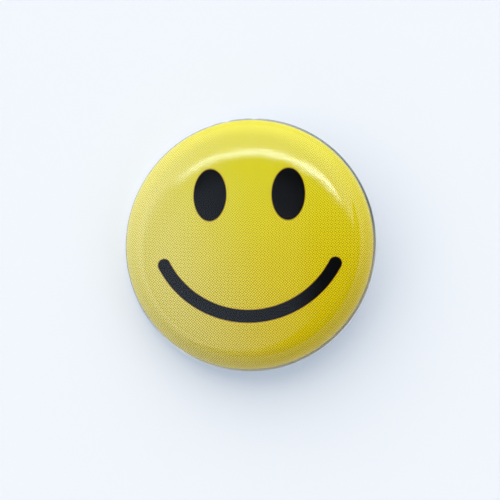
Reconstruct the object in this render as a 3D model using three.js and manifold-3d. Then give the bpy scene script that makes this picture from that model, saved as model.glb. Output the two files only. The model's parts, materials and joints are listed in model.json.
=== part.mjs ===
// A 25.4 mm (1 inch) button badge with a spring-wire "D-pin" back.
//
// Frame, in millimetres: the origin is the centre of the back shell's flat rear face,
// +Z points out of the printed face, +X to the picture's right and +Y to its top.
//
// The badge is a stack of pressed shells that share one axis. Seen in section, the clear
// film, the paper and the front shell all follow one line, the "skin": a shallow cap, a
// tight round shoulder, a curl past the widest point and a short straight skirt. Each
// layer is that line, moved inwards by its depth under the film's outer face.

import * as THREE from 'three';
import { mergeVertices } from 'three/addons/utils/BufferGeometryUtils.js';
import Module from 'manifold-3d';

// ---- Driving dimensions ------------------------------------------------------------

// The whole badge
const RIM_RADIUS = 12.7;            // outside of the back shell's lip, the widest part

// The skin: the outer face of the clear film
const LIP_STEP = 0.12;              // from the rim's outside in to the film's widest radius
const CAP_RADIUS = 86;              // radius of the shallow cap's sphere
const SHOULDER_RADIUS = 2.2;        // round from the cap to the widest level
const CURL_RADIUS = 0.8;            // round below the widest level
const CURL_LEAN = 22;               // degrees that the skirt leans in below the curl
const SKIRT_LENGTH = 0.35;          // straight part of the skirt
const TUCK_TURN = 14;               // degrees of shoulder that the folded-in edges follow inside

// Sheet thicknesses and the gap between two layers
const FILM_THICKNESS = 0.08;
const PAPER_THICKNESS = 0.1;
const SHELL_THICKNESS = 0.2;
const BACK_THICKNESS = 0.2;
const LAYER_GAP = 0.02;

// The back shell
const TROUGH_GAP = 0.03;            // between the folded film and the trough that holds it
const BEAD_RADIUS = 0.22;           // outside of the rim's corners
const GROOVE_WRAP = 60;             // degrees that the groove turns under the wire

// The pin
const WIRE_DIAMETER = 0.7;
const WIRE_CLEARANCE = 0.1;         // round the wire in its groove
const RING_START = 22;              // degrees round the back where the wire's blunt end lies
const BEND_RADIUS = 1.15;           // bend from the groove into the arm
const BEND_GAP = 0.3;               // between the held wire and the moving arm
const POINT_INSET = 0.7;            // from the rim's outside in to the point at rest
const ARM_OPEN = 12.4;              // degrees that the relaxed arm stands off the back
const POINT_LENGTH = 2.6;           // tapered end of the arm
const POINT_RADIUS = 0.09;          // radius of its blunted end

// Facets
const TURN_SEGMENTS = 40;
const CAP_STEPS = 3;
const SHOULDER_STEPS = 5;
const CURL_STEPS = 2;
const FOLD_STEPS = 4;
const GROOVE_STEPS = 5;
const BEAD_STEPS = 2;
const WIRE_SIDES = 8;
const RING_STEPS = 30;
const BEND_STEPS = 5;
const WELD_DISTANCE = 1e-4;         // corners nearer than this are one corner

// ---- Sizes that follow from them ---------------------------------------------------

const wireRadius = WIRE_DIAMETER / 2;
const grooveRadius = wireRadius + WIRE_CLEARANCE;
const wireHeight = -grooveRadius;

const faceRadius = RIM_RADIUS - LIP_STEP;
const lipRadius = RIM_RADIUS - BACK_THICKNESS;
const paperDepth = FILM_THICKNESS + LAYER_GAP;
const shellDepth = paperDepth + PAPER_THICKNESS + LAYER_GAP;
const foldDepth = shellDepth + SHELL_THICKNESS / 2;

const radians = THREE.MathUtils.degToRad;
const degrees = THREE.MathUtils.radToDeg;
const point = (r, z) => new THREE.Vector2(r, z);

// The groove turns under the wire, and the hem turns back from its end to the rim's lower face.
const lean = radians(CURL_LEAN);
const grooveEnd = 90 + GROOVE_WRAP;
const hemReach = grooveRadius + BEAD_RADIUS;
const hemHeight = wireHeight + hemReach * Math.cos(radians(grooveEnd));
const rimBottom = hemHeight - BEAD_RADIUS;

// Heights of the fold, where film and paper turn round the front shell's edge, and of the
// skin's widest level above it
const foldHeight = rimBottom + BACK_THICKNESS + TROUGH_GAP + foldDepth;
const curlDrop = (CURL_RADIUS - foldDepth) * Math.sin(lean);
const widestHeight = foldHeight + SKIRT_LENGTH * Math.cos(lean) + curlDrop;

// ---- The skin line -----------------------------------------------------------------

// Points of an arc in section. The angle is 0 straight up the axis and grows outwards.
function arc(centre, radius, from, to, steps) {
  return Array.from({ length: steps + 1 }, (_, i) => {
    const angle = radians(from + ((to - from) * i) / steps);
    return point(centre.x + radius * Math.sin(angle), centre.y + radius * Math.cos(angle));
  });
}

const capTurn = degrees(
  Math.asin((faceRadius - SHOULDER_RADIUS) / (CAP_RADIUS - SHOULDER_RADIUS)),
);
const shoulderCentre = point(faceRadius - SHOULDER_RADIUS, widestHeight);
const curlCentre = point(faceRadius - CURL_RADIUS, widestHeight);
const capCentre = point(
  0,
  widestHeight - (CAP_RADIUS - SHOULDER_RADIUS) * Math.cos(radians(capTurn)),
);

// The cap and shoulder at one depth under the film's outer face, from the axis outwards
function crown(depth) {
  return [
    ...arc(capCentre, CAP_RADIUS - depth, 0, capTurn, CAP_STEPS),
    ...arc(shoulderCentre, SHOULDER_RADIUS - depth, capTurn, 90, SHOULDER_STEPS).slice(1),
  ];
}

// The curl and straight skirt at one depth, from below the widest level down to the fold
function skirt(depth) {
  const curl = arc(curlCentre, CURL_RADIUS - depth, 90, 90 + CURL_LEAN, CURL_STEPS).slice(1);
  const end = curl[curl.length - 1].clone();
  end.x -= SKIRT_LENGTH * Math.sin(lean);
  end.y -= SKIRT_LENGTH * Math.cos(lean);
  return [...curl, end];
}

// The fold round the shell's edge, at one distance from the middle of that edge
function fold(distance) {
  const foot = skirt(foldDepth).at(-1);
  return arc(foot, distance, 90 + CURL_LEAN, 270 + CURL_LEAN, FOLD_STEPS).slice(1, -1);
}

// The part tucked up inside, from the fold to its cut edge a little way up the shoulder
function tuck(depth) {
  const edge = arc(shoulderCentre, SHOULDER_RADIUS - depth, 90, 90 - TUCK_TURN, 1);
  return [...skirt(depth).reverse(), ...edge];
}

// ---- Places in the back shell that the skin sets ---------------------------------------

// The groove stands TROUGH_GAP clear of the tucked film's inner face, which leans as the
// skirt does, so its distance square to that face sets the radius of the wire's ring.
const tuckFoot = skirt(2 * foldDepth).at(-1);
const grooveStand = grooveRadius + BACK_THICKNESS + TROUGH_GAP;
const footRise = (wireHeight - tuckFoot.y) * Math.sin(lean);
const ringRadius = tuckFoot.x - (grooveStand - footRise) / Math.cos(lean);

const wireCentre = point(ringRadius, wireHeight);
const hemCentre = point(ringRadius + hemReach * Math.sin(radians(grooveEnd)), hemHeight);

// The lip ends where the skirt has come in far enough to clear its inner face.
const curlEnd = point(
  curlCentre.x + CURL_RADIUS * Math.cos(lean),
  curlCentre.y - CURL_RADIUS * Math.sin(lean),
);
const lipEdge = curlEnd.y - (curlEnd.x - lipRadius + TROUGH_GAP) / Math.tan(lean);

// ---- Solids ------------------------------------------------------------------------

const wasm = await Module();
wasm.setup();

// A shell turned round the axis. LatheGeometry turns about Y, so it is laid over to Z.
function turned(profile) {
  const upright = new THREE.LatheGeometry(profile, TURN_SEGMENTS);
  upright.rotateX(Math.PI / 2);
  return facingOut(upright);
}

function merged(geometry) {
  const bare = geometry.clone();
  bare.deleteAttribute('normal');
  bare.deleteAttribute('uv');
  return mergeVertices(bare, WELD_DISTANCE);
}

// Each face and the origin span a tetrahedron, a sixth of the box on the same three edges.
function signedVolume(geometry) {
  const place = geometry.attributes.position;
  const order = geometry.index;
  const corner = [new THREE.Vector3(), new THREE.Vector3(), new THREE.Vector3()];
  let sum = 0;
  for (let i = 0; i < order.count; i += 3) {
    corner.forEach((c, k) => c.fromBufferAttribute(place, order.getX(i + k)));
    sum += corner[0].dot(corner[1].clone().cross(corner[2])) / 6;
  }
  return sum;
}

// The same closed surface with its faces turned outwards
function facingOut(geometry) {
  const closed = merged(geometry);
  if (signedVolume(closed) < 0) {
    const order = closed.index;
    for (let i = 0; i < order.count; i += 3) {
      const second = order.getX(i + 1);
      order.setX(i + 1, order.getX(i + 2));
      order.setX(i + 2, second);
    }
  }
  return closed;
}

function toSolid(geometry) {
  const closed = facingOut(geometry);
  return new wasm.Manifold(new wasm.Mesh({
    numProp: 3,
    vertProperties: new Float32Array(closed.attributes.position.array),
    triVerts: new Uint32Array(closed.index.array),
  }));
}

function toGeometry(solid) {
  const mesh = solid.getMesh();
  const geometry = new THREE.BufferGeometry();
  geometry.setAttribute('position', new THREE.BufferAttribute(mesh.vertProperties, 3));
  geometry.setIndex(new THREE.BufferAttribute(mesh.triVerts, 1));
  return geometry;
}

// ---- Materials ---------------------------------------------------------------------

const clearPlastic = () => new THREE.MeshStandardMaterial({
  color: 0xf3f6f8, roughness: 0.12, metalness: 0, transparent: true, opacity: 0.35,
});
const yellowPaper = () => new THREE.MeshStandardMaterial({
  color: 0xf2c52e, roughness: 0.6, metalness: 0,
});
const tinplate = () => new THREE.MeshStandardMaterial({
  color: 0xb9bdc1, roughness: 0.32, metalness: 1,
});
const springSteel = () => new THREE.MeshStandardMaterial({
  color: 0x8f949a, roughness: 0.28, metalness: 1,
});

// ---- Sub-parts ---------------------------------------------------------------------

// A layer that lies between two depths, folds round the shell's edge and is tucked inside
function foldedLayer(outerDepth, thickness) {
  const innerDepth = outerDepth + thickness;
  const outside = [
    ...crown(outerDepth),
    ...skirt(outerDepth),
    ...fold(foldDepth - outerDepth),
    ...tuck(2 * foldDepth - outerDepth),
  ];
  const inside = [
    ...crown(innerDepth),
    ...skirt(innerDepth),
    ...fold(foldDepth - innerDepth),
    ...tuck(2 * foldDepth - innerDepth),
  ];
  return turned([...outside, ...inside.reverse()]);
}

function clearFilm() {
  return foldedLayer(0, FILM_THICKNESS);
}

function printedPaper() {
  return foldedLayer(paperDepth, PAPER_THICKNESS);
}

function frontShell() {
  const outside = [...crown(shellDepth), ...skirt(shellDepth)];
  const inside = [
    ...crown(shellDepth + SHELL_THICKNESS),
    ...skirt(shellDepth + SHELL_THICKNESS),
  ];
  return turned([...outside, ...inside.reverse()]);
}

// One sheet: flat back, groove round the wire, hem under it, rim and outer lip
function backShell() {
  const innerBend = BEAD_RADIUS - BACK_THICKNESS;
  const corner = point(RIM_RADIUS - BEAD_RADIUS, hemHeight);
  const rearFace = [
    point(0, 0),
    ...arc(wireCentre, grooveRadius, 0, grooveEnd, GROOVE_STEPS),
    ...arc(hemCentre, BEAD_RADIUS, grooveEnd + 180, 180, BEAD_STEPS + 1).slice(1),
    ...arc(corner, BEAD_RADIUS, 180, 90, BEAD_STEPS),
    point(RIM_RADIUS, lipEdge),
  ];
  const frontFace = [
    point(0, BACK_THICKNESS),
    ...arc(wireCentre, grooveRadius + BACK_THICKNESS, 0, grooveEnd, GROOVE_STEPS),
    ...arc(hemCentre, innerBend, grooveEnd + 180, 180, BEAD_STEPS + 1).slice(1),
    ...arc(corner, innerBend, 180, 90, BEAD_STEPS),
    point(lipRadius, lipEdge),
  ];
  return turned([...rearFace, ...frontFace.reverse()]);
}

// A wire of round section swept along a curve
function wire(path, steps) {
  const section = new THREE.Shape();
  for (let i = 0; i < WIRE_SIDES; i += 1) {
    const angle = (2 * Math.PI * (i + 0.5)) / WIRE_SIDES;
    const x = wireRadius * Math.cos(angle);
    const y = wireRadius * Math.sin(angle);
    if (i === 0) section.moveTo(x, y);
    else section.lineTo(x, y);
  }
  section.closePath();
  return new THREE.ExtrudeGeometry(section, { steps, extrudePath: path });
}

// Part of a circle that lies flat, between two angles round its centre
class FlatArc extends THREE.Curve {
  constructor(centre, radius, from, to) {
    super();
    Object.assign(this, { centre, radius, from, to });
  }

  getPoint(t, target = new THREE.Vector3()) {
    const angle = radians(this.from + (this.to - this.from) * t);
    return target.set(
      this.centre.x + this.radius * Math.cos(angle),
      this.centre.y + this.radius * Math.sin(angle),
      0,
    );
  }
}

// The bend starts where the groove's circle stands BEND_RADIUS above the arm's line.
const bendAngle = 180 - degrees(Math.asin(BEND_RADIUS / ringRadius));
const hingePlace = point(ringRadius * Math.cos(radians(bendAngle)), wireHeight);

// The held part of the wire, from its blunt end round to the bend
function pinRing() {
  const gapAngle = degrees(BEND_GAP / ringRadius);
  const path = new FlatArc(point(0, 0), ringRadius, RING_START, bendAngle - gapAngle);
  const geometry = wire(path, RING_STEPS);
  geometry.translate(0, 0, wireHeight);
  return facingOut(geometry);
}

// The bend and the straight arm, drawn level with the hinge line at x = 0
function pinArm() {
  const bendCentre = point(BEND_RADIUS, BEND_RADIUS);
  const bend = toSolid(wire(new FlatArc(bendCentre, BEND_RADIUS, 180, 270), BEND_STEPS));
  const reach = RIM_RADIUS - POINT_INSET;
  const length = (reach - hingePlace.x) / Math.cos(radians(ARM_OPEN));
  const shaft = new THREE.LatheGeometry([
    point(0, BEND_RADIUS - wireRadius / 2),
    point(wireRadius, BEND_RADIUS - wireRadius / 2),
    point(wireRadius, length - POINT_LENGTH),
    point(POINT_RADIUS, length),
    point(0, length + POINT_RADIUS / 2),
  ], WIRE_SIDES);
  shaft.rotateZ(-Math.PI / 2);
  return toGeometry(bend.add(toSolid(shaft)));
}

// ---- Assembly ----------------------------------------------------------------------

function subPart(name, geometry, material) {
  const mesh = new THREE.Mesh(geometry, material);
  mesh.name = name;
  return mesh;
}

const badge = new THREE.Group();
badge.add(
  subPart('clear_film', clearFilm(), clearPlastic()),
  subPart('printed_paper', printedPaper(), yellowPaper()),
  subPart('front_shell', frontShell(), tinplate()),
  subPart('back_shell', backShell(), tinplate()),
);

const pin = new THREE.Group();
pin.add(subPart('pin_ring', pinRing(), springSteel()));

// The arm turns about the line through the bend, parallel to Y, and rests part open.
const hinge = new THREE.Group();
hinge.position.set(hingePlace.x, 0, hingePlace.y);
hinge.rotation.y = radians(ARM_OPEN);
hinge.add(subPart('pin_arm', pinArm(), springSteel()));
pin.add(hinge);
badge.add(pin);

export default badge;
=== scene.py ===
# %% [markdown]
# # A one-inch button badge
# A button badge is a stack of thin pressed discs that share one axis: a tinplate shell, a
# printed paper over it, a clear film over that, and a tinplate back that grips the folded
# edges. A single bent spring wire is the pin. The fixed frame is loaded first, because
# every size and place below comes from it.

# %% Load the frame
import json
import math

import bpy
import numpy as np
from mathutils import Matrix, Vector


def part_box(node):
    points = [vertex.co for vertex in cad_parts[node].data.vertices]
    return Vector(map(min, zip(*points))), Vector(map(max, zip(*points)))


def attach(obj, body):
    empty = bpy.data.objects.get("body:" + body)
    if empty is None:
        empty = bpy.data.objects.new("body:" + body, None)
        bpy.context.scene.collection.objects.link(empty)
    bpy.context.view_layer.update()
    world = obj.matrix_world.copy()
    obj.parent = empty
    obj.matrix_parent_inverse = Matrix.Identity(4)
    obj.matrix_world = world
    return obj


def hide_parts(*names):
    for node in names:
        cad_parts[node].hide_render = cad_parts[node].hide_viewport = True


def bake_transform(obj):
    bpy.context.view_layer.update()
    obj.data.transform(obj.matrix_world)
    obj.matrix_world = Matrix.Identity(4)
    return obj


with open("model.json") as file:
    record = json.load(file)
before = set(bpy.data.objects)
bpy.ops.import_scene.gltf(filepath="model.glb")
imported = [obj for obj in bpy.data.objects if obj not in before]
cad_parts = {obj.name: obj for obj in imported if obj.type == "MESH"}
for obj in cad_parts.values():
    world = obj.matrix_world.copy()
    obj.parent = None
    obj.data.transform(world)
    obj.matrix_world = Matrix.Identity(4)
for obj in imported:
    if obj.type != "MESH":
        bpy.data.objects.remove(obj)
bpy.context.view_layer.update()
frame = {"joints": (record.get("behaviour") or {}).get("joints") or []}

MM = 0.001

# %% [markdown]
# ## Sizes
# The discs are measured in millimetres and in section: r is the distance from the axis and
# z the height above the flat rear face. The outside sizes are read from the frame. The
# others are the sheet thicknesses and the press tool's radii, which say how a badge of
# this size is made.

# %% Sizes in section, in millimetres


def corners(node):
    """The lowest and highest corner of a node's box, in millimetres."""
    return [np.array(corner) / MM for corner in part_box(node)]


film_high = corners("clear_film")[1]
back_low, back_high = corners("back_shell")
arm_low, arm_high = corners("pin_arm")

FACE_RADIUS = film_high[0]
FACE_TOP = film_high[2]
RIM_RADIUS = back_high[0]
RIM_BOTTOM = back_low[2]
BACK_THICKNESS = back_high[2]

CAP_RADIUS = 86.0
SHOULDER_RADIUS = 2.2
CURL_RADIUS = 0.8
CURL_LEAN = 22.0
SKIRT_LENGTH = 0.35
TUCK_TURN = 14.0
FILM_THICKNESS = 0.08
PAPER_THICKNESS = 0.1
SHELL_THICKNESS = 0.2
LAYER_GAP = 0.02
TROUGH_GAP = 0.03
BEAD_RADIUS = 0.22
GROOVE_END = 150.0
WIRE_RADIUS = 0.35
GROOVE_RADIUS = 0.45

PAPER_DEPTH = FILM_THICKNESS + LAYER_GAP
SHELL_DEPTH = PAPER_DEPTH + PAPER_THICKNESS + LAYER_GAP
FOLD_DEPTH = SHELL_DEPTH + SHELL_THICKNESS / 2
LIP_RADIUS = RIM_RADIUS - BACK_THICKNESS
print(f"face {2 * FACE_RADIUS:.2f} mm across, rim {2 * RIM_RADIUS:.2f} mm")

# %% [markdown]
# ## The section line
# Film, paper and shell all follow one line, each at its own depth under the film's face: a
# nearly flat cap, a tight round shoulder, a curl past the widest level and a short skirt
# that leans in. A lathe needs only this line, so it is written as arcs. The film and the
# paper then fold round the shell's edge and are tucked up inside it.

# %% The section line, as arcs


def arc(centre, radius, start, end, steps):
    """Points at centre + radius * (sin a, cos a), with a running from start to end degrees."""
    a = np.radians(np.linspace(start, end, steps + 1))
    return np.column_stack([centre[0] + radius * np.sin(a), centre[1] + radius * np.cos(a)])


lean = math.radians(CURL_LEAN)
cap_turn = math.degrees(
    math.asin((FACE_RADIUS - SHOULDER_RADIUS) / (CAP_RADIUS - SHOULDER_RADIUS))
)
cap_centre = (0.0, FACE_TOP - CAP_RADIUS)
widest = cap_centre[1] + (CAP_RADIUS - SHOULDER_RADIUS) * math.cos(math.radians(cap_turn))
shoulder_centre = (FACE_RADIUS - SHOULDER_RADIUS, widest)
curl_centre = (FACE_RADIUS - CURL_RADIUS, widest)


def crown(depth):
    """The cap's arc from the axis out, then the shoulder's arc down to the widest level."""
    cap = arc(cap_centre, CAP_RADIUS - depth, 0, cap_turn, 26)
    shoulder = arc(shoulder_centre, SHOULDER_RADIUS - depth, cap_turn, 90, 22)
    return np.vstack([cap, shoulder[1:]])


def skirt(depth):
    """The curl's arc below the widest level, then a straight run that leans in."""
    curl = arc(curl_centre, CURL_RADIUS - depth, 90, 90 + CURL_LEAN, 6)[1:]
    run = np.linspace(0, SKIRT_LENGTH, 4)[1:, None] * [[math.sin(lean), math.cos(lean)]]
    return np.vstack([curl, curl[-1] - run])


def fold(distance):
    """Half a circle round the middle of the shell's edge."""
    foot = skirt(FOLD_DEPTH)[-1]
    return arc(foot, distance, 90 + CURL_LEAN, 270 + CURL_LEAN, 10)[1:-1]


def tuck(depth):
    """The folded-in part: up the skirt again, and a little way up inside the shoulder."""
    edge = arc(shoulder_centre, SHOULDER_RADIUS - depth, 90, 90 - TUCK_TURN, 4)
    return np.vstack([skirt(depth)[::-1], edge])


print(f"shoulder starts {cap_turn:.1f} degrees off the axis, widest at z {widest:.3f} mm")

# %% [markdown]
# ## One way to make every surface
# A turned disc and a bent wire are the same kind of surface: rows of points, each row a
# closed ring, with a pole at each end. So one function makes them all. It joins
# neighbouring rings with four-cornered faces, closes both ends with a fan, and turns the
# faces outwards if the volume comes out negative. A map is a function of the row and the
# column, which lets a seam run from 0 to 1 without a doubled edge.

# %% Rings to a closed mesh


def ring_faces(rows, cols):
    """Corner rows and corner columns of the quads between rings, and of the two fans."""
    row, col = np.meshgrid(np.arange(rows - 1), np.arange(cols), indexing="ij")
    quad_rows = np.stack([row, row, row + 1, row + 1], -1).reshape(-1, 4)
    quad_cols = np.stack([col, col + 1, col + 1, col], -1).reshape(-1, 4)
    side = np.arange(cols)
    level = np.zeros(cols)
    head = np.stack([level - 1, level, level], -1), np.stack([side + 0.5, side + 1, side], -1)
    foot_rows = np.stack([level + rows, level + rows - 1, level + rows - 1], -1)
    foot = foot_rows, np.stack([side + 0.5, side, side + 1], -1)
    fans = np.vstack([head[0], foot[0]]), np.vstack([head[1], foot[1]])
    return (quad_rows, quad_cols), fans


def ring_mesh(name, rings, first, last, maps, sharp=35):
    """A closed piece over rings (rows, cols, 3) in mm, with a pole point at each end.

    maps gives each UV map's name and its function of (row, col, strip), where strip is the
    lowest row of the face that the corner belongs to. Edges over sharp degrees stay crisp."""
    rows, cols = rings.shape[:2]
    points = np.vstack([rings.reshape(-1, 3), [first, last]])
    faces = []
    for face_rows, face_cols in ring_faces(rows, cols):
        at = face_rows * cols + np.floor(face_cols) % cols
        at = np.where(face_rows < 0, rows * cols, at)
        at = np.where(face_rows >= rows, rows * cols + 1, at).astype(int)
        faces.append([at, face_rows, face_cols])
    quads, fans = faces[0][0], faces[1][0]
    halves = np.vstack([quads[:, :3], quads[:, [0, 2, 3]], fans])
    a, b, c = (points[halves[:, k]] for k in range(3))
    volume = np.einsum("ij,ij->", a, np.cross(b, c)) / 6
    if volume < 0:
        faces = [[part[:, ::-1] for part in face] for face in faces]
    mesh = bpy.data.meshes.new(name)
    listed = [corner.tolist() for face in faces for corner in face[0]]
    mesh.from_pydata((points * MM).tolist(), [], listed)
    for map_name, placed in maps.items():
        spots = [
            placed(face[1], face[2], face[1].min(1, keepdims=True) + 0 * face[1])
            for face in faces
        ]
        uv = np.vstack([np.stack(spot, -1).reshape(-1, 2) for spot in spots])
        layer = mesh.uv_layers.new(name=map_name)
        layer.uv.foreach_set("vector", uv.astype(np.float32).ravel())
    mesh.polygons.foreach_set("use_smooth", np.ones(len(mesh.polygons), bool))
    mesh.set_sharp_from_angle(angle=math.radians(sharp))
    mesh.update()
    piece = bpy.data.objects.new(name, mesh)
    bpy.context.scene.collection.objects.link(piece)
    print(f"{name}: {len(listed)} faces, {abs(volume):.2f} mm3")
    return piece


# %% [markdown]
# ## Turned discs
# A pressed disc is turned round the badge's axis: every section point (r, z) goes to
# (r cos a, r sin a, z). The print has to lie on the disc as it lay on flat paper, so the
# map "plan" holds the distance run along the section, which is how far a point is from
# the middle of the flat sheet. The second map spreads the outside over the whole square and
# keeps the hidden side small, in a corner, for baking.

# %% Discs from a section

TURN_SIDES = 240
SHOWN_SIDE = 0.495
HIDDEN_SIDE = 0.08
MAP_MARGIN = 0.003


def run_along(profile):
    """Length along the section from its first point to each point."""
    return np.concatenate([[0], np.cumsum(np.hypot(*np.diff(profile, axis=0).T))])


def disc_maps(profile, cols):
    """The plan map in mm and the baking map, for a section with the given points.

    Both are polar: distance along the section from the nearer pole, at the column's angle."""
    run = run_along(profile)
    turn_back = int(np.argmin(np.abs(run - run[-1] / 2))) - 1

    def polar(distance, col):
        angle = 2 * np.pi * col / cols
        return distance * np.cos(angle), distance * np.sin(angle)

    def plan(row, col, strip):
        return polar(run[(row + 1).astype(int)], col)

    def bake(row, col, strip):
        at = (row + 1).astype(int)
        outside = polar(run[at] / run[turn_back + 1] * SHOWN_SIDE, col)
        inside = polar((run[-1] - run[at]) / (run[-1] - run[turn_back + 1]) * HIDDEN_SIDE, col)
        shown = strip < turn_back
        return (
            np.where(shown, outside[0] + 0.5, inside[0] + HIDDEN_SIDE + MAP_MARGIN),
            np.where(shown, outside[1] + 0.5, inside[1] + HIDDEN_SIDE + MAP_MARGIN),
        )

    return {"plan": plan, "OFBake": bake}


def disc(name, profile, reshape=None):
    """A closed disc turned from a section that starts and ends on the axis.

    reshape may move the ring points: it takes and returns r, z and the angle as arrays."""
    angle = np.linspace(0, 2 * np.pi, TURN_SIDES, endpoint=False)[None, :]
    r = np.repeat(profile[1:-1, :1], TURN_SIDES, axis=1)
    z = np.repeat(profile[1:-1, 1:], TURN_SIDES, axis=1)
    if reshape:
        r, z = reshape(r, z, angle)
    rings = np.stack([r * np.cos(angle), r * np.sin(angle), z], -1)
    poles = [(0, 0, profile[0, 1]), (0, 0, profile[-1, 1])]
    return ring_mesh(name, rings, *poles, disc_maps(profile, TURN_SIDES))


# %% [markdown]
# ## Film, paper and front shell
# The film and the paper are cut flat and pressed over the shell in one stroke, so where
# they turn under there is too much sheet, and it gathers in shallow pleats. They are a
# small wave on the radius that starts at the widest level, and both sheets share it, so
# the one stays inside the other.

# %% Pressed sheets

PLEATS = 52
PLEAT_DEPTH = 0.013


def smooth(low, high, x):
    """0 below low, 1 above high, and 3t^2 - 2t^3 between them."""
    t = np.clip((x - low) / (high - low), 0, 1)
    return t * t * (3 - 2 * t)


def pleated(r, z, angle):
    """Takes a wave off the radius below the widest level, uneven in width round the badge."""
    wave = 0.5 + 0.5 * np.cos(PLEATS * angle + 1.7 * np.sin(3 * angle) + np.sin(7 * angle))
    return r - PLEAT_DEPTH * wave * smooth(0, 0.5, widest - z), z


def folded_sheet(depth, thickness):
    """Section of a sheet between two depths: out, round the shell's edge, and back."""
    outside, inside = (
        np.vstack([crown(d), skirt(d), fold(FOLD_DEPTH - d), tuck(2 * FOLD_DEPTH - d)])
        for d in (depth, depth + thickness)
    )
    return np.vstack([outside, inside[::-1]])


film = disc("film_cover", folded_sheet(0, FILM_THICKNESS), pleated)
paper = disc("print_sheet", folded_sheet(PAPER_DEPTH, PAPER_THICKNESS), pleated)

shell_sides = [
    np.vstack([crown(d), skirt(d)]) for d in (SHELL_DEPTH, SHELL_DEPTH + SHELL_THICKNESS)
]
shell = disc("front_disc", np.vstack([shell_sides[0], shell_sides[1][::-1]]))

for piece, node, slot in (
    (film, "clear_film", "clear_film"),
    (paper, "printed_paper", "printed_paper"),
    (shell, "front_shell", "front_tinplate"),
):
    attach(piece, "badge")
    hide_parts(node)

# %% [markdown]
# ## Back shell
# One pressed sheet makes the flat back, the open groove that holds the wire, the hem under
# it, the rim and the thin lip that shows round the face. Its section is again arcs. A
# blanking die leaves a slightly uneven cut edge, so the lip's top dips by a few hundredths
# of a millimetre, with three deeper nicks.

# %% Back shell in section

ring_height = -GROOVE_RADIUS
hem_reach = GROOVE_RADIUS + BEAD_RADIUS
hem_height = RIM_BOTTOM + BEAD_RADIUS
tuck_foot = skirt(2 * FOLD_DEPTH)[-1]
groove_stand = GROOVE_RADIUS + BACK_THICKNESS + TROUGH_GAP
ring_radius = tuck_foot[0] - (
    groove_stand - (ring_height - tuck_foot[1]) * math.sin(lean)
) / math.cos(lean)
wire_centre = (ring_radius, ring_height)
hem_centre = (ring_radius + hem_reach * math.sin(math.radians(GROOVE_END)), hem_height)
corner_centre = (RIM_RADIUS - BEAD_RADIUS, hem_height)
curl_end = (
    curl_centre[0] + CURL_RADIUS * math.cos(lean),
    curl_centre[1] - CURL_RADIUS * math.sin(lean),
)
lip_edge = curl_end[1] - (curl_end[0] - LIP_RADIUS + TROUGH_GAP) / math.tan(lean)

LIP_ROUND = 0.04
LIP_DIP = 0.015
LIP_NICKS = ((88, 0.05), (101, 0.07), (109, 0.04))
NICK_WIDTH = 1.4


def back_side(groove_radius, bend_radius, radius, height):
    """One side of the sheet: flat, groove, hem, rim corner and the lip's straight wall."""
    level = np.linspace(0, ring_radius, 24)[:-1]
    wall = np.linspace(hem_height, lip_edge - LIP_ROUND, 6)[1:]
    return np.vstack([
        np.column_stack([level, np.full(len(level), height)]),
        arc(wire_centre, groove_radius, 0, GROOVE_END, 20),
        arc(hem_centre, bend_radius, GROOVE_END + 180, 180, 8)[1:],
        arc(corner_centre, bend_radius, 180, 90, 10),
        np.column_stack([np.full(len(wall), radius), wall]),
    ])


lip_top = arc((RIM_RADIUS - BACK_THICKNESS / 2, lip_edge - LIP_ROUND), LIP_ROUND, 90, -90, 6)
lip_top[:, 0] += np.linspace(1, -1, len(lip_top)) * (BACK_THICKNESS / 2 - LIP_ROUND)
rear = back_side(GROOVE_RADIUS, BEAD_RADIUS, RIM_RADIUS, 0.0)
front = back_side(
    GROOVE_RADIUS + BACK_THICKNESS, BEAD_RADIUS - BACK_THICKNESS, LIP_RADIUS, BACK_THICKNESS
)


def uneven_lip(r, z, angle):
    """Lowers the lip's top by a small wave, and by a narrow bump at each nick."""
    dip = LIP_DIP * (0.5 + 0.25 * np.sin(5 * angle + 1) + 0.25 * np.sin(13 * angle))
    for middle, depth in LIP_NICKS:
        dip = dip + depth * np.exp(-(((np.degrees(angle) - middle) / NICK_WIDTH) ** 2))
    top = (r > LIP_RADIUS - 0.01) & (z > hem_height)
    return r, z - dip * top * smooth(hem_height, lip_edge, z)


back = disc("back_disc", np.vstack([rear, lip_top, front[::-1]]), uneven_lip)
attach(back, "badge")
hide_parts("back_shell")
print(f"wire ring radius {ring_radius:.3f} mm, lip edge at z {lip_edge:.3f} mm")

# %% [markdown]
# ## Pin wire
# The pin is one length of drawn spring wire. It runs round in the groove from its blunt
# cut end, bends, and crosses the back as the arm, which stands off at an angle and ends in
# a ground point. It is one swept tube, with a ring of points square to the path at each
# step. Its lift turns smoothly from the ring's level to the arm's angle near the bend.

# %% Pin wire along its path

RING_START = 22.0
BEND_RADIUS = 1.15
POINT_LENGTH = 2.6
POINT_RADIUS = 0.09
WIRE_SIDES = 28
BLEND_ABOVE = 0.6
ARM_STEPS = 90
TIP_INSET = 0.05
TIP_LEAST = 0.25
CUT_LENGTH = 0.08
CUT_ROUNDING = 0.18

pin_joint = next(j for j in frame["joints"] if j["name"] == "pin_open")
hinge_x, _, hinge_z = np.array(pin_joint["pos_m"]) / MM
bend_x = -math.sqrt((ring_radius - BEND_RADIUS) ** 2 - BEND_RADIUS**2)
bend_start = 180 - math.degrees(math.asin(BEND_RADIUS / (ring_radius - BEND_RADIUS)))
tip_reach = arm_high[0] - hinge_x
tip_drop = hinge_z - arm_low[2] - POINT_RADIUS
arm_open = math.atan2(tip_drop, tip_reach)
arm_length = math.hypot(tip_reach, tip_drop) + hinge_x - bend_x - TIP_INSET


def flat_arc(cx, cy, radius, start, end, steps):
    """Points of a level circle's arc, counted anticlockwise from +X in degrees."""
    a = np.radians(np.linspace(start, end, steps + 1))
    return np.column_stack([cx + radius * np.cos(a), cy + radius * np.sin(a)])


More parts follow.
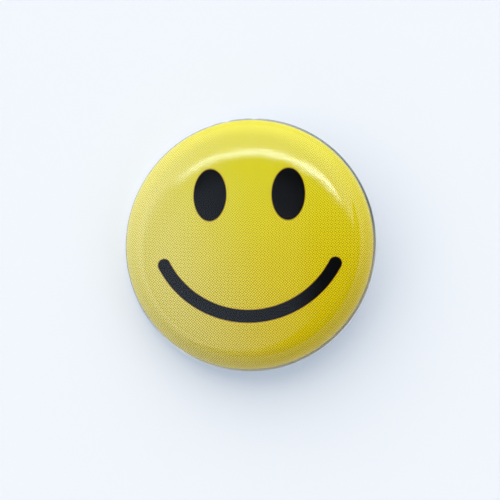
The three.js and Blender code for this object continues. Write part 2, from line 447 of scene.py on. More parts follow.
def easing(count, power):
    """Steps from 0 to 1 that crowd towards 1."""
    return 1 - (1 - np.linspace(0, 1, count)) ** power


held = flat_arc(0, 0, ring_radius, RING_START, bend_start, 190)
bend = flat_arc(bend_x, BEND_RADIUS, BEND_RADIUS, bend_start, 270, 28)[1:]
shaft = np.column_stack([bend_x + arm_length * easing(ARM_STEPS, 1.8)[1:], np.zeros(ARM_STEPS - 1)])
level_path = np.vstack([held, bend, shaft])
run = run_along(level_path)

lifted = smooth(BEND_RADIUS + BLEND_ABOVE, BEND_RADIUS, level_path[:, 1]) * arm_open
offset = level_path[:, 0] - hinge_x
path = np.column_stack([
    hinge_x + offset * np.cos(lifted),
    level_path[:, 1],
    hinge_z - offset * np.sin(lifted),
])
along = np.gradient(path, axis=0)
along /= np.linalg.norm(along, axis=1, keepdims=True)
upright = np.column_stack([np.sin(lifted), np.zeros(len(path)), np.cos(lifted)])
sideways = np.cross(upright, along)
sideways /= np.linalg.norm(sideways, axis=1, keepdims=True)
upright = np.cross(along, sideways)

to_end = run[-1] - run
taper = POINT_RADIUS + (WIRE_RADIUS - POINT_RADIUS) * np.clip(to_end / POINT_LENGTH, 0, 1)
tip_round = np.sqrt(1 - (1 - np.clip(to_end / POINT_RADIUS, 0, 1)) ** 2)
cut_round = 1 - CUT_ROUNDING * (1 - np.clip(run / CUT_LENGTH, 0, 1)) ** 2
radius = taper * np.maximum(tip_round, TIP_LEAST) * cut_round

around = 2 * np.pi * np.arange(WIRE_SIDES) / WIRE_SIDES
rings = path[:, None, :] + radius[:, None, None] * (
    np.cos(around)[None, :, None] * sideways[:, None, :]
    + np.sin(around)[None, :, None] * upright[:, None, :]
)


def wire_maps(rows, cols):
    """Length along the wire against turn round it: in mm for the grain, 0 to 1 for baking."""
    length = np.concatenate([[0], run, [run[-1]]])

    def grain(row, col, strip):
        return length[(row + 1).astype(int)], col / cols * 2 * np.pi * WIRE_RADIUS

    def bake(row, col, strip):
        return (row + 1) / (rows + 1), col / cols

    return {"wire_run": grain, "OFBake": bake}


wire = ring_mesh("pin_wire_drawn", rings, path[0], path[-1], wire_maps(len(path), WIRE_SIDES))
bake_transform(wire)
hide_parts("pin_ring", "pin_arm")
print(f"wire {run[-1]:.1f} mm long, arm {math.degrees(arm_open):.1f} degrees open")

# %% [markdown]
# ## Short words for shader nodes
# A shader is a chain of small sums, and in Python each sum would take four lines. These
# helpers add a node and fill its inputs with numbers or links, and most of them hand back
# its output. A group is built once and placed in each material that needs the same effect.

# %% Node helpers


def fill(tree, socket, value):
    """Links value to the socket if it is another node's output, and sets it if it is a number."""
    if isinstance(value, bpy.types.NodeSocket):
        tree.links.new(value, socket)
    else:
        socket.default_value = value


def put(tree, kind, inputs=None, **settings):
    """Adds a shader node, sets its properties and fills its inputs with values or links."""
    made = tree.nodes.new("ShaderNode" + kind)
    for name, value in settings.items():
        setattr(made, name, value)
    for name, value in (inputs or {}).items():
        fill(tree, made.inputs[name], value)
    return made


def sums(tree):
    """A function that adds one Math node and returns its output: m("ADD", a, b)."""

    def m(operation, *values, clamp=False):
        inputs = dict(enumerate(values))
        return put(tree, "Math", inputs, operation=operation, use_clamp=clamp).outputs[0]

    return m


def hypotenuse(m, x, y):
    """The distance from the origin to (x, y)."""
    return m("SQRT", m("ADD", m("MULTIPLY", x, x), m("MULTIPLY", y, y)))


def toward(m, x, y, way):
    """How far (x, y) lies from the origin in the direction way."""
    return m("ADD", m("MULTIPLY", x, way[0]), m("MULTIPLY", y, way[1]))


def ramp(tree, value, low, high, start=0.0, end=1.0):
    """value carried smoothly from low..high to start..end, and held beyond them."""
    inputs = {"Value": value, "From Min": low, "From Max": high, "To Min": start, "To Max": end}
    made = put(tree, "MapRange", inputs, interpolation_type="SMOOTHSTEP")
    return made.outputs["Result"]


def blend_colour(tree, factor, a, b):
    """Colour a where factor is 0 and b where it is 1."""
    made = put(tree, "Mix", data_type="RGBA")
    for number, value in zip((0, 6, 7), (factor, a, b)):
        fill(tree, made.inputs[number], value)
    return made.outputs[2]


def group(name, inputs, outputs):
    """An empty node group with the named inputs (and their defaults) and float outputs."""
    tree = bpy.data.node_groups.new(name, "ShaderNodeTree")
    for label, value in inputs.items():
        kind = "NodeSocketVector" if value is None else "NodeSocketFloat"
        socket = tree.interface.new_socket(label, in_out="INPUT", socket_type=kind)
        if value is not None:
            socket.default_value = value
    for label in outputs:
        tree.interface.new_socket(label, in_out="OUTPUT", socket_type="NodeSocketFloat")
    return tree, tree.nodes.new("NodeGroupInput").outputs, tree.nodes.new("NodeGroupOutput")


def place(tree, shared, inputs):
    """Puts a shared group into a material and returns its outputs."""
    made = tree.nodes.new("ShaderNodeGroup")
    made.node_tree = shared
    for name, value in inputs.items():
        fill(tree, made.inputs[name], value)
    return made.outputs


# %% [markdown]
# ## Shared effects
# Four effects are each placed more than once. Grain is noise drawn out along one way, as
# rolling and drawing leave it. Scuffs are fine crossing scratches that only show in
# patches. Dust is a sprinkle of separate specks of uneven size. A dot screen is the
# printer's: two cosines at right angles, and a dot wherever their sum passes a level.

# %% Shared node groups


def make_grain():
    """Noise on coordinates scaled apart in X and Y, with a finer layer over it."""
    tree, given, result = group("grain", {"Vector": None, "Across": 60.0, "Along": 1.5}, ["Value"])
    scale = put(tree, "CombineXYZ", {"X": given["Along"], "Y": given["Across"], "Z": given["Across"]})
    drawn = put(tree, "VectorMath", {0: given["Vector"], 1: scale.outputs[0]}, operation="MULTIPLY")
    noise = put(tree, "TexNoise", {"Vector": drawn.outputs[0], "Scale": 1.0, "Detail": 4.0})
    tree.links.new(noise.outputs["Fac"], result.inputs["Value"])
    return tree


def make_scuffs():
    """The brightest crests of two crossing drawn-out noises, let through in patches."""
    inputs = {"Vector": None, "Scale": 1.0, "Amount": 0.5}
    tree, given, result = group("scuffs", inputs, ["Mask"])
    m = sums(tree)
    lines = []
    for turn, stretch in ((0.5, 26.0), (-0.9, 34.0)):
        turned = put(tree, "VectorRotate", {"Vector": given["Vector"], "Angle": turn})
        turned.rotation_type = "Z_AXIS"
        apart = put(tree, "VectorMath", {0: turned.outputs[0], 1: (1.0, stretch, 8.0)})
        apart.operation = "MULTIPLY"
        noise = put(tree, "TexNoise", {"Vector": apart.outputs[0], "Scale": given["Scale"]})
        lines.append(ramp(tree, noise.outputs["Fac"], 0.64, 0.72))
    patches = put(tree, "TexNoise", {"Vector": given["Vector"], "Scale": given["Scale"], "Detail": 3.0})
    level = m("SUBTRACT", 0.75, m("MULTIPLY", given["Amount"], 0.45))
    patch = m("MULTIPLY", m("SUBTRACT", patches.outputs["Fac"], level), 6.0, clamp=True)
    mask = m("MULTIPLY", m("MAXIMUM", *lines), patch, clamp=True)
    tree.links.new(mask, result.inputs["Mask"])
    return tree


def make_dust():
    """Round specks at scattered points: a few cells are chosen, each with its own size."""
    inputs = {"Vector": None, "Scale": 1.0, "Amount": 0.1, "Size": 0.2}
    tree, given, result = group("dust", inputs, ["Mask"])
    m = sums(tree)
    bent = put(tree, "TexNoise", {"Vector": given["Vector"], "Scale": 3.0})
    cells = put(tree, "TexVoronoi", {"Vector": given["Vector"], "Scale": given["Scale"]})
    chance = put(tree, "SeparateColor", {"Color": cells.outputs["Color"]})
    chosen = m("LESS_THAN", chance.outputs[0], given["Amount"])
    uneven = m("ADD", chance.outputs[1], m("MULTIPLY", bent.outputs["Fac"], 0.4))
    reach = m("MULTIPLY", given["Size"], uneven)
    edge = m("DIVIDE", cells.outputs["Distance"], m("MAXIMUM", reach, 0.001))
    mask = m("MULTIPLY", ramp(tree, edge, 1.0, 0.6), chosen)
    tree.links.new(mask, result.inputs["Mask"])
    return tree


def make_dot_screen():
    """Dots on a square grid: half the sum of two cosines, cut at a level set by coverage."""
    inputs = {"Vector": None, "Angle": 0.785, "Pitch": 0.19, "Coverage": 0.3}
    tree, given, result = group("dot_screen", inputs, ["Ink"])
    m = sums(tree)
    turned = put(tree, "VectorRotate", {"Vector": given["Vector"], "Angle": given["Angle"]})
    turned.rotation_type = "Z_AXIS"
    flat = put(tree, "SeparateXYZ", {"Vector": turned.outputs[0]})
    beat = m("DIVIDE", 2 * math.pi, given["Pitch"])
    waves = [m("COSINE", m("MULTIPLY", flat.outputs[k], beat)) for k in (0, 1)]
    spot = m("MULTIPLY", m("ADD", *waves), 0.5)
    level = m("SUBTRACT", 1.0, m("MULTIPLY", given["Coverage"], 2.3))
    ink = ramp(tree, m("SUBTRACT", spot, level), -0.12, 0.12)
    tree.links.new(ink, result.inputs["Ink"])
    return tree


grain = make_grain()
scuffs = make_scuffs()
dust = make_dust()
dot_screen = make_dot_screen()
print("shared effects", [tree.name for tree in (grain, scuffs, dust, dot_screen)])

# %% [markdown]
# ## Finishes in general
# Every finish starts from the same material: a node tree with one Principled shader. The
# coordinates are in metres on the object, so they are scaled to millimetres once, which
# makes every pattern size below a real one.

# %% Start of a finish


def finish_for(piece, name, **constants):
    """A new material on the piece: its tree, its Principled shader and a sum maker."""
    material = bpy.data.materials.new(name)
    material.use_nodes = True
    tree = material.node_tree
    shader = tree.nodes["Principled BSDF"]
    for label, value in constants.items():
        shader.inputs[label.replace("_", " ")].default_value = value
    piece.data.materials.clear()
    piece.data.materials.append(material)
    print("finish", name, "on", piece.name)
    return tree, shader, sums(tree)


def object_mm(tree):
    """The place on the object, in millimetres."""
    where = put(tree, "TexCoord").outputs["Object"]
    scaled = put(tree, "VectorMath", {0: where, "Scale": 1 / MM}, operation="SCALE")
    return scaled.outputs[0]


def uneven_height(tree, shader, height, strength, distance):
    """Sends a height in millimetres to the shader's normal."""
    bump = put(tree, "Bump", {"Height": height, "Strength": strength, "Distance": distance * MM})
    tree.links.new(bump.outputs[0], shader.inputs["Normal"])


# %% [markdown]
# ## The drawing
# The face on the sheet is a plain smile: two upright ovals and one round stroke. Each is
# a signed distance in millimetres, negative inside the ink, made from the plan map. The
# ovals use the scaled distance from their middle. The stroke is the distance to a circle,
# and past the stroke's ends the distance to the end point, which rounds them.

# %% The drawing as a distance

PRINT_SHIFT = (0.42, 0.0)
EYE_PLACE = (3.94, 4.75)
EYE_HALF = (1.66, 2.6)
SMILE_RADIUS = 9.75
SMILE_LOW = -7.35
SMILE_TURN = 62.0
SMILE_STROKE = 1.26


def drawing(tree, plan):
    """Signed distance in mm to the two ovals and the smile's stroke, taken together."""
    m = sums(tree)
    flat = put(tree, "SeparateXYZ", {"Vector": plan})
    x = m("ABSOLUTE", flat.outputs["X"])
    y = flat.outputs["Y"]
    eye_x = m("DIVIDE", m("SUBTRACT", x, EYE_PLACE[0]), EYE_HALF[0])
    eye_y = m("DIVIDE", m("SUBTRACT", y, EYE_PLACE[1]), EYE_HALF[1])
    eye = hypotenuse(m, eye_x, eye_y)
    eye = m("MULTIPLY", m("SUBTRACT", eye, 1.0), EYE_HALF[0])
    turn = math.radians(SMILE_TURN)
    down = m("SUBTRACT", y, SMILE_LOW + SMILE_RADIUS)
    out = hypotenuse(m, x, down)
    on_arc = m("ABSOLUTE", m("SUBTRACT", out, SMILE_RADIUS))
    end_x = m("SUBTRACT", x, SMILE_RADIUS * math.sin(turn))
    end_y = m("ADD", down, SMILE_RADIUS * math.cos(turn))
    at_end = hypotenuse(m, end_x, end_y)
    past = toward(m, x, down, (math.cos(turn), math.sin(turn)))
    beyond = m("GREATER_THAN", past, 0.0)
    stroke = m("ADD", on_arc, m("MULTIPLY", beyond, m("SUBTRACT", at_end, on_arc)))
    return m("MINIMUM", eye, m("SUBTRACT", stroke, SMILE_STROKE / 2))


# %% [markdown]
# ## Printed paper
# Offset printing lays four inks over each other in dot screens, 133 lines to the inch, each
# at its own angle. Here the yellow ground is lemon, paler towards the left and gold towards
# the lower right, and the orange and olive dots grow towards the gold. The gold's tone is
# the print's, and its brightness is partly painted light that makes up for the dimmer light
# on the lower right shoulder. The black of the drawing is laid on solid, a little uneven,
# with a trace of orange where the inks don't quite meet.

# %% Printed paper's finish

SCREEN_PITCH = 25.4 / 133
LEMON = (0.83, 0.765, 0.03, 1)
PALE_LEMON = (0.88, 0.80, 0.22, 1)
# partly painted light: the gold is brighter in red than the lemon, to make up for the dim lower right
# shoulder
GOLD_WITH_PAINTED_LIGHT = (0.95, 0.76, 0.003, 1)
ORANGE = (0.43, 0.25, 0.002, 1)
OLIVE = (0.32, 0.27, 0.01, 1)
INK_BLACK = (0.0035, 0.0034, 0.0036, 1)
INK_FRINGE = (0.32, 0.07, 0.01, 1)
GOLD_WAY = (0.36, -0.92)
PALE_WAY = (-0.95, -0.3)
INK_UNEVEN = 0.05
FRINGE_REACH = (0.09, 0.03)
FRINGE_SHARE = 0.6


def print_finish(piece):
    """Ground colour, three dot screens and the drawing, all laid on the plan map."""
    tree, shader, m = finish_for(piece, "printed_yellow_paper", Specular_IOR_Level=0.0)
    plan = put(tree, "UVMap", uv_map="plan").outputs[0]
    moved = put(tree, "VectorMath", {0: plan, 1: (*PRINT_SHIFT, 0)}, operation="SUBTRACT").outputs[0]
    flat = put(tree, "SeparateXYZ", {"Vector": plan})
    slope = toward(m, flat.outputs["X"], flat.outputs["Y"], GOLD_WAY)
    cloud = put(tree, "TexNoise", {"Vector": plan, "Scale": 0.22, "Detail": 2.0}).outputs["Fac"]
    slope = m("ADD", slope, m("MULTIPLY", m("SUBTRACT", cloud, 0.5), 3.0))
    # print tone towards gold, with painted light in the gold's brightness
    gold_share = ramp(tree, slope, -9.0, 13.0)
    ground = blend_colour(tree, gold_share, LEMON, GOLD_WITH_PAINTED_LIGHT)
    leftward = toward(m, flat.outputs["X"], flat.outputs["Y"], PALE_WAY)
    pale_share = ramp(tree, leftward, -3.0, 11.0)
    ground = blend_colour(tree, pale_share, ground, PALE_LEMON)

    screens = (
        (ORANGE, 45, ramp(tree, slope, -10.0, 11.0, 0.18, 0.38)),
        (OLIVE, 15, ramp(tree, slope, -12.0, 12.0, 0.09, 0.17)),
        (OLIVE, 105, ramp(tree, slope, -12.0, 12.0, 0.03, 0.08)),
    )
    for ink, angle, coverage in screens:
        values = {"Vector": plan, "Angle": math.radians(angle), "Pitch": SCREEN_PITCH}
        dots = place(tree, dot_screen, {**values, "Coverage": coverage})["Ink"]
        ground = blend_colour(tree, dots, ground, ink)

    away = drawing(tree, moved)
    rough_edge = put(tree, "TexNoise", {"Vector": plan, "Scale": 9.0}).outputs["Fac"]
    away = m("ADD", away, m("MULTIPLY", m("SUBTRACT", rough_edge, 0.5), INK_UNEVEN))
    fringe = m("MULTIPLY", ramp(tree, away, *FRINGE_REACH), FRINGE_SHARE)
    inked = ramp(tree, away, 0.02, -0.02)
    colour = blend_colour(tree, fringe, ground, INK_FRINGE)
    colour = blend_colour(tree, inked, colour, INK_BLACK)
    tree.links.new(colour, shader.inputs["Base Color"])
    fibre = put(tree, "TexNoise", {"Vector": plan, "Scale": 14.0, "Detail": 5.0}).outputs["Fac"]
    tree.links.new(m("MULTIPLY_ADD", fibre, 0.16, 0.36), shader.inputs["Roughness"])
    uneven_height(tree, shader, fibre, 0.25, 0.01)


print_finish(paper)

# %% [markdown]
# ## Clear film
# The film is polyester, glossy and colourless: all that shows of it is its reflection,
# which is weak in the middle and strong at the shoulder. So it is a mirror whose alpha is
# the Fresnel term, on outward faces only, with specks of dust that are matt and opaque.
# Fine scuffs from a pocket and a faint orange-peel waviness break the reflections up.

# %% Clear film's finish

FILM_IOR = 1.5
DUST_PALE = (0.72, 0.74, 0.76, 1)
DUST_DARK = (0.05, 0.05, 0.045, 1)
FILM_WHITE = (0.97, 0.985, 1.0, 1)


def film_finish(piece):
    """Alpha is the Fresnel term on faces seen from outside, plus the dust's specks."""
    tree, shader, m = finish_for(piece, "clear_glossy_film", IOR=FILM_IOR)
    where = object_mm(tree)
    behind = put(tree, "NewGeometry").outputs["Backfacing"]
    mirror = put(tree, "Fresnel", {"IOR": FILM_IOR}).outputs[0]
    mirror = m("MULTIPLY", mirror, m("SUBTRACT", 1.0, behind))
    worn = place(tree, scuffs, {"Vector": where, "Scale": 0.9, "Amount": 0.4})["Mask"]
    pale = place(tree, dust, {"Vector": where, "Scale": 0.62, "Amount": 0.10, "Size": 0.045})["Mask"]
    dark = place(tree, dust, {"Vector": where, "Scale": 1.1, "Amount": 0.05, "Size": 0.05})["Mask"]
    specks = m("MAXIMUM", pale, dark)
    haze = put(tree, "TexNoise", {"Vector": where, "Scale": 0.35, "Detail": 3.0}).outputs["Fac"]
    rough = m("ADD", m("MULTIPLY", haze, 0.05), m("MULTIPLY", worn, 0.08))
    colour = blend_colour(tree, pale, FILM_WHITE, DUST_PALE)
    colour = blend_colour(tree, dark, colour, DUST_DARK)
    tree.links.new(colour, shader.inputs["Base Color"])
    tree.links.new(m("SUBTRACT", 1.0, specks), shader.inputs["Metallic"])
    tree.links.new(m("ADD", rough, m("MULTIPLY", specks, 0.5), clamp=True), shader.inputs["Roughness"])
    alpha = m("MAXIMUM", mirror, m("MULTIPLY", specks, 0.85), clamp=True)
    tree.links.new(alpha, shader.inputs["Alpha"])
    peel = put(tree, "TexNoise", {"Vector": where, "Scale": 0.6, "Detail": 2.0}).outputs["Fac"]
    uneven_height(tree, shader, peel, 0.35, 0.012)


film_finish(film)

# %% [markdown]
# ## Tinplate
# Tinplate is thin steel with a bright tin coat. The rollers leave a fine grain one way, the
# tin is faintly cloudy, and handling scratches it. On the back the rim is given a brighter
# tin, a painted sheen that stands in for the pale floor it reflects, and the groove is
# darker in patches. The lip's top is the cut edge of the sheet, where the steel shows; its
# dark colour is also painted shade under the film's curl, and its lower right is painted
# light. Both discs share one finish with different amounts.

# %% Tinplate's finish

TIN_BRIGHT = (0.66, 0.68, 0.70, 1)
TIN_DULL = (0.44, 0.46, 0.49, 1)
# colour of the darker patches in the groove
TIN_GROOVE_DARK = (0.14, 0.13, 0.115, 1)
# painted sheen: brighter tin on the rim, standing in for its reflection of the pale floor
WALL_PAINTED_SHEEN = (0.80, 0.83, 0.87, 1)
# painted shade and light on the lip's cut edge: the steel is made dark partly as shade under the film's
# curl, and brighter towards the lower right as painted light
CUT_STEEL_AND_SHADE = (0.20, 0.22, 0.24, 1)
EDGE_PAINTED_LIGHT = (0.86, 0.89, 0.92, 1)
PAINTED_LIGHT_SIDE = (0.35, -0.94)
LIP_FADE = (LIP_RADIUS - 0.08, LIP_RADIUS + 0.02)
RIM_FADE = (RIM_BOTTOM + 0.03, RIM_BOTTOM + 0.13)
GROOVE_FADE = (LIP_RADIUS - 0.4, LIP_RADIUS - 0.6)
GROOVE_DARK_FADE = (-0.02, -0.30)
CUT_FADE = (lip_edge - 0.09, lip_edge - 0.03)


def tinplate_finish(piece, name, scratched, groove_darkening):
    """Rolled grain along X, clouds in the tin, scuffs, painted sheen on the rim, a darker groove.

    The lip's cut edge is dark steel with painted shade, and painted light on its lower right."""
    tree, shader, m = finish_for(piece, name, Metallic=1.0)
    where = object_mm(tree)
    rolled = place(tree, grain, {"Vector": where, "Across": 9.0, "Along": 0.35})["Value"]
    fine = place(tree, grain, {"Vector": where, "Across": 34.0, "Along": 1.1})["Value"]
    clouds = put(tree, "TexNoise", {"Vector": where, "Scale": 0.28, "Detail": 5.0}).outputs["Fac"]
    worn = place(tree, scuffs, {"Vector": where, "Scale": 1.3, "Amount": scratched})["Mask"]
    place_mm = put(tree, "SeparateXYZ", {"Vector": where}).outputs
    height = place_mm["Z"]
    level = put(tree, "CombineXYZ", {"X": place_mm["X"], "Y": place_mm["Y"]})
    out = put(tree, "VectorMath", {0: level.outputs[0]}, operation="LENGTH").outputs["Value"]
    rim = m("MULTIPLY", ramp(tree, out, *LIP_FADE), ramp(tree, height, *RIM_FADE))
    # the groove below the flat back, where the wire lies, is darker in patches
    groove = m("MULTIPLY", ramp(tree, height, *GROOVE_DARK_FADE), ramp(tree, out, *GROOVE_FADE))
    groove_dark = put(tree, "TexNoise", {"Vector": where, "Scale": 0.8, "Detail": 7.0}).outputs["Fac"]
    groove_dark = m("MULTIPLY", m("MULTIPLY", ramp(tree, groove_dark, 0.35, 0.75), groove), groove_darkening)
    colour = blend_colour(tree, ramp(tree, clouds, 0.35, 0.7), TIN_BRIGHT, TIN_DULL)
    colour = blend_colour(tree, m("MULTIPLY", rolled, 0.35), colour, TIN_DULL)
    colour = blend_colour(tree, groove_dark, colour, TIN_GROOVE_DARK)
    # painted sheen on the rim's walls above its bottom edge
    colour = blend_colour(tree, m("MULTIPLY", rim, 0.9), colour, WALL_PAINTED_SHEEN)
    # painted shade on the lip's cut edge, turning to painted light towards the lower right
    cut = m("MULTIPLY", ramp(tree, height, *CUT_FADE), ramp(tree, out, LIP_FADE[0], LIP_RADIUS))
    cut = m("MULTIPLY", cut, m("LESS_THAN", height, 0.0))
    lit_side = toward(m, place_mm["X"], place_mm["Y"], PAINTED_LIGHT_SIDE)
    lit_and_shaded_edge = blend_colour(tree, ramp(tree, lit_side, 1.0, 8.0), CUT_STEEL_AND_SHADE, EDGE_PAINTED_LIGHT)
    colour = blend_colour(tree, cut, colour, lit_and_shaded_edge)
    tree.links.new(colour, shader.inputs["Base Color"])
    rough = m("MULTIPLY_ADD", clouds, 0.16, m("MULTIPLY_ADD", rim, 0.1, 0.18))
    rough = m("ADD", rough, m("MULTIPLY", worn, 0.22))
    rough = m("ADD", rough, m("MULTIPLY", groove_dark, 0.3), clamp=True)
    tree.links.new(rough, shader.inputs["Roughness"])
    relief = m("ADD", m("MULTIPLY", fine, 0.6), m("ADD", rolled, m("MULTIPLY", worn, -0.8)))
    uneven_height(tree, shader, relief, 0.35, 0.006)


tinplate_finish(shell, "front_tinplate_rolled", scratched=0.25, groove_darkening=0.0)
tinplate_finish(back, "back_tinplate_scuffed", scratched=0.7, groove_darkening=0.75)

# %% [markdown]
# ## Spring wire
# Drawing leaves long fine lines along the wire, so its grain follows the wire's own map.
# Nickel plating makes it bright but warmer than the tin. The point is ground after
# plating: the lines there run round it and the steel is darker.

# %% Spring wire's finish

NICKEL = (0.60, 0.59, 0.57, 1)
BARE_STEEL = (0.33, 0.335, 0.345, 1)
GRIND_FADE = 0.15


def wire_finish(piece):
    """Drawn lines along the wire, and grinding marks round the last stretch."""
    tree, shader, m = finish_for(piece, "drawn_nickel_wire", Metallic=1.0)
    run_map = put(tree, "UVMap", uv_map="wire_run").outputs[0]
    flat = put(tree, "SeparateXYZ", {"Vector": run_map})
    point_start = run[-1] - POINT_LENGTH
    ground = ramp(tree, flat.outputs["X"], point_start - GRIND_FADE, point_start + GRIND_FADE)
    where = object_mm(tree)
    drawn = place(tree, grain, {"Vector": run_map, "Across": 22.0, "Along": 0.3})["Value"]
    ring_lines = place(tree, grain, {"Vector": run_map, "Across": 0.8, "Along": 18.0})["Value"]
    worn = place(tree, scuffs, {"Vector": where, "Scale": 1.8, "Amount": 0.5})["Mask"]
    lines = m("ADD", drawn, m("MULTIPLY", ground, m("SUBTRACT", ring_lines, drawn)))
    colour = blend_colour(tree, ground, NICKEL, BARE_STEEL)
    colour = blend_colour(tree, m("MULTIPLY", ramp(tree, lines, 0.35, 0.75), 0.4), colour, BARE_STEEL)
    tree.links.new(colour, shader.inputs["Base Color"])
    rough = m("ADD", m("MULTIPLY_ADD", lines, 0.18, 0.14), m("MULTIPLY", worn, 0.2))
    tree.links.new(m("ADD", rough, m("MULTIPLY", ground, 0.1), clamp=True), shader.inputs["Roughness"])
    uneven_height(tree, shader, m("SUBTRACT", lines, m("MULTIPLY", worn, 0.5)), 0.4, 0.006)


wire_finish(wire)

# %% [markdown]
# ## Floor
# The badge lies face up on a pale sheet. It touches at the left of its rim and is propped
# at the right by the pin's point, so in the badge's own frame the floor leans. It is one
# plane through those two places. It is a translucent sheet with a weak light under it,
# as on a product table, which keeps the shadows thin. Its underside is clear, so that the
# badge's back can be looked at from below.

# %% Floor under the rim and the point

rim_foot = (-(RIM_RADIUS - BEAD_RADIUS), RIM_BOTTOM)
point_foot = (arm_high[0] - TIP_INSET, arm_low[2])
floor_slope = (rim_foot[1] - point_foot[1]) / (point_foot[0] - rim_foot[0])
FLOOR_HALF = 1500.0

floor_x = np.array([-FLOOR_HALF, FLOOR_HALF, FLOOR_HALF, -FLOOR_HALF])
floor_y = np.array([-FLOOR_HALF, -FLOOR_HALF, FLOOR_HALF, FLOOR_HALF])
floor_z = rim_foot[1] - (floor_x - rim_foot[0]) * floor_slope
floor_mesh = bpy.data.meshes.new("pale_floor")
floor_points = (np.column_stack([floor_x, floor_y, floor_z]) * MM).tolist()
floor_mesh.from_pydata(floor_points, [], [(0, 1, 2, 3)])
floor = bpy.data.objects.new("pale_floor", floor_mesh)
bpy.context.scene.collection.objects.link(floor)

FLOOR_PALE = (0.767, 0.714, 0.643, 1)
FLOOR_TOOTH = (0.757, 0.704, 0.635, 1)
UNDERLIGHT = (0.155, 0.225, 0.325, 1)
underlit = {"Emission_Color": UNDERLIGHT, "Emission_Strength": 1.0}
tree, shader, _ = finish_for(floor, "pale_card", Roughness=0.75, **underlit)
tooth = put(tree, "TexNoise", {"Vector": object_mm(tree), "Scale": 0.03, "Detail": 3.0})
tree.links.new(
    blend_colour(tree, tooth.outputs["Fac"], FLOOR_PALE, FLOOR_TOOTH), shader.inputs["Base Color"]
)
underside = put(tree, "NewGeometry").outputs["Backfacing"]
clear = put(tree, "BsdfTransparent")
sheet = put(tree, "MixShader", {0: underside, 1: shader.outputs[0], 2: clear.outputs[0]})
tree.links.new(sheet.outputs[0], tree.nodes["Material Output"].inputs["Surface"])
print(f"floor leans {math.degrees(math.atan(floor_slope)):.1f} degrees under the badge")

# %% [markdown]
# ## Camera
# The camera stands nearly straight over the floor, a little to the right of the badge's
# axis and below it, with a long lens. Its axes are built from the sight line and the
# badge's own up direction, so the picture's top is the drawing's top.

# %% Camera

SIGHT = Vector((0.175, -0.085, 1.0)).normalized()
CAMERA_DISTANCE = 300.0
VIEW_WIDTH = 49.9
SENSOR = 36.0
AIM = (0.044, -0.55)
RIM_LEVEL = -0.4

right = Vector((0, 1, 0)).cross(SIGHT).normalized()
up = SIGHT.cross(right)
target = Vector((0, 0, RIM_LEVEL)) + AIM[0] * right + AIM[1] * up
lens = bpy.data.cameras.new("camera")
lens.sensor_width = SENSOR
lens.lens = SENSOR * CAMERA_DISTANCE / VIEW_WIDTH
lens.clip_start, lens.clip_end = 0.01, 10.0
camera = bpy.data.objects.new("camera", lens)
bpy.context.scene.collection.objects.link(camera)
axes = Matrix((right, up, SIGHT)).transposed().to_4x4()
camera.matrix_world = Matrix.Translation((target + SIGHT * CAMERA_DISTANCE) * MM) @ axes
bpy.context.scene.camera = camera
print(f"lens {lens.lens:.0f} mm")

# %% [markdown]
# ## Light
# The light is a white tent round the badge, brightest overhead towards the top of the
# picture, with a round opening for the camera. The opening's edge is what the face mirrors
# as a pale arc, and the darker inside of it leaves the middle of the face clear. It is
# drawn as the sky's brightness by direction, in slopes x/z and y/z, so no lamp gets in
# another view's way. The camera itself sees a plain pale backdrop.

# %% Light tent

OPENING = (-0.182, 0.0173)
OPENING_RADIUS = 0.321
EDGE_WIDTH = 0.011
EDGE_STRENGTH = 8.0
EDGE_TURN = 81.0
OVERHEAD = (0.0, 0.62, 0.78)
DARK_SIDE = (0.61, -0.79)
TENT_TINT = (0.945, 0.97, 1.0, 1)
BACKDROP = (0.86, 0.90, 0.97, 1)
TENT_STRENGTH = 1.0
OPENING_TINT = (0.80, 0.95, 1.15, 1)
LEAST_RISE = 0.05
TENT_LEAST = 0.98
TENT_MOST = 2.1
DARK_RING = (0.286, 0.03)
DARK_RING_DEPTH = 0.6
SHADE_DEPTH = 0.96
LOW_SHADE_DEPTH = 0.2

world = bpy.data.worlds.new("light_tent")
bpy.context.scene.world = world
world.use_nodes = True
tree = world.node_tree
tree.nodes.clear()
m = sums(tree)
sky = put(tree, "TexCoord").outputs["Generated"]
ray = put(tree, "SeparateXYZ", {"Vector": sky})
height = m("MAXIMUM", ray.outputs["Z"], LEAST_RISE)
slope_x = m("DIVIDE", ray.outputs["X"], height)
slope_y = m("DIVIDE", ray.outputs["Y"], height)
from_x = m("SUBTRACT", slope_x, OPENING[0])
from_y = m("SUBTRACT", slope_y, OPENING[1])
out = hypotenuse(m, from_x, from_y)


def bell(value, middle, width):
    """exp(-((value - middle) / width)^2)"""
    off = m("DIVIDE", m("SUBTRACT", value, middle), width)
    return m("EXPONENT", m("MULTIPLY", m("MULTIPLY", off, off), -1.0))


edge_turn = math.radians(EDGE_TURN)
edge_side = toward(m, from_x, from_y, (math.cos(edge_turn), math.sin(edge_turn)))
edge_side = m("DIVIDE", edge_side, m("MAXIMUM", out, 0.001))
edge_light = m("MULTIPLY", bell(out, OPENING_RADIUS, EDGE_WIDTH), ramp(tree, edge_side, 0.60, 0.82))
edge_light = m("MULTIPLY", edge_light, m("MULTIPLY_ADD", from_x, 1.2, 1.0))
beyond = ramp(tree, out, OPENING_RADIUS - 0.01, OPENING_RADIUS + 0.02)

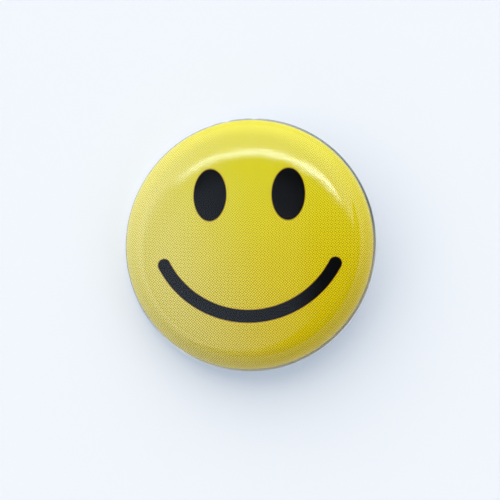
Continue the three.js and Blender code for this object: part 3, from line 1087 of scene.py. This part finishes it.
lobe = put(tree, "VectorMath", {0: sky, 1: OVERHEAD}, operation="DOT_PRODUCT").outputs["Value"]
tent = ramp(tree, lobe, 0.0, 0.95, TENT_LEAST, TENT_MOST)
tent = m("MULTIPLY", tent, ramp(tree, ray.outputs["X"], 0.2, 0.75, 1.0, 0.9))
tent = m("MULTIPLY", tent, ramp(tree, ray.outputs["X"], -0.3, -0.8, 1.0, 0.75))

inside = m("ADD", m("MULTIPLY_ADD", slope_x, -1.2, 0.36), m("MULTIPLY", slope_y, -1.0))
inside = m("MULTIPLY", m("MAXIMUM", inside, 0.04), ramp(tree, slope_x, 0.04, -0.06, 0.15, 1.0))
dark_ring = m("MULTIPLY", bell(out, *DARK_RING), DARK_RING_DEPTH)
inside = m("MULTIPLY", inside, m("SUBTRACT", 1.0, dark_ring))

light = m("ADD", m("MULTIPLY", beyond, tent), m("MULTIPLY", m("SUBTRACT", 1.0, beyond), inside))
light = m("ADD", light, m("MULTIPLY", edge_light, EDGE_STRENGTH))
dark_way = toward(m, slope_x, slope_y, DARK_SIDE)
near_axis = ramp(tree, ray.outputs["Z"], 0.56, 0.68)
right_side = m("MULTIPLY", ramp(tree, slope_x, 0.07, 0.11), ramp(tree, slope_y, 0.22, 0.13))
lower_right = ramp(tree, dark_way, 0.09, 0.12)
shaded = m("MULTIPLY", m("MAXIMUM", lower_right, right_side), near_axis)
low_shade = m("MULTIPLY", lower_right, ramp(tree, ray.outputs["Y"], -0.15, -0.35))
low_shade = m("MULTIPLY", low_shade, LOW_SHADE_DEPTH)
shaded = m("MAXIMUM", m("MULTIPLY", shaded, SHADE_DEPTH), low_shade)
light = m("MULTIPLY", light, m("SUBTRACT", 1.0, shaded))

seen = put(tree, "LightPath").outputs["Is Camera Ray"]
tint = blend_colour(tree, beyond, OPENING_TINT, TENT_TINT)
tent_light = put(tree, "Background", {"Color": tint, "Strength": m("MULTIPLY", light, TENT_STRENGTH)})
backdrop = put(tree, "Background", {"Color": BACKDROP, "Strength": 1.0})
both = put(tree, "MixShader", {0: seen, 1: tent_light.outputs[0], 2: backdrop.outputs[0]})
put(tree, "OutputWorld", {"Surface": both.outputs[0]})

scene = bpy.context.scene
scene.view_settings.view_transform = "Standard"
scene.view_settings.look = "None"
print(f"light tent of {len(tree.nodes)} nodes")
